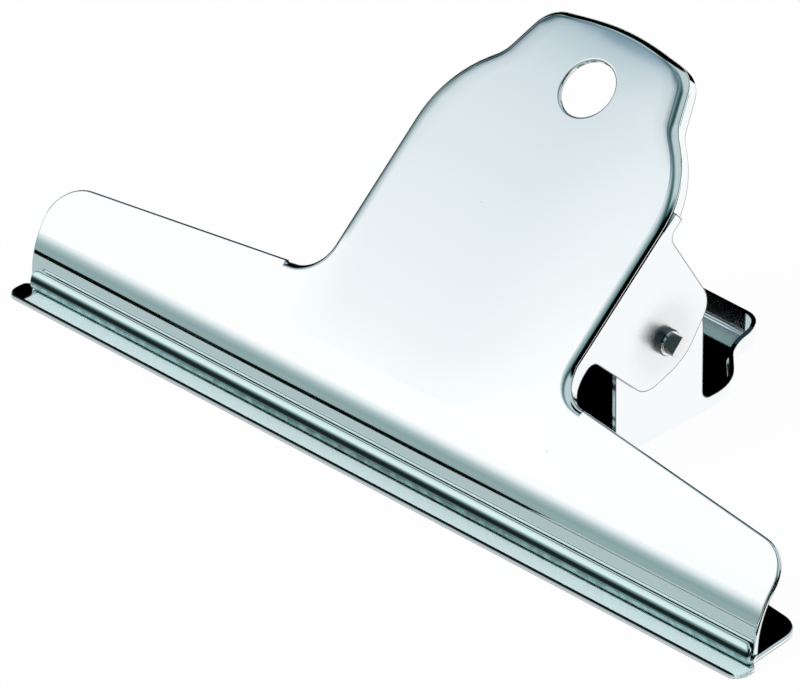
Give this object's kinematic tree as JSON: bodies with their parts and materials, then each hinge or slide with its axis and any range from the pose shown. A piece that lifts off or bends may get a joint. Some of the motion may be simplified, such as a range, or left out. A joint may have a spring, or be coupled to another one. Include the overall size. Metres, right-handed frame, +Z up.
{
  "type": "bulldog clip",
  "caption": "Wide sprung paper clip: pressed steel front and back plates with waisted handles, hinged on a pin by a torsion spring, closing on a hemmed lip.",
  "frame": {"origin": "middle of the footprint, on the surface that the back plate lies on", "axes": "+X along the jaw, +Y from the lips towards the handles, +Z up away from the back plate"},
  "size_m": [0.1478, 0.068, 0.0513],
  "materials": {
    "plate": "bright nickel plate",
    "pin": "bright nickel plate, pinched ends",
    "spring": "drawn spring wire"
  },
  "bodies": {
    "back": {"back_plate": "plate", "torsion_spring": "spring"},
    "front": {"front_plate": "plate", "hinge_pin": "pin"}
  },
  "joints": [
    {"name": "jaw_hinge", "type": "hinge", "parent": "back", "child": "front", "pos_m": [0, 0.00365, 0.0173], "axis": [-1, 0, 0], "range_deg": [0, 40], "stiffness_Nm_per_rad": 0.5, "springref_deg": -57.3, "deforming": ["torsion_spring"]}
  ]
}
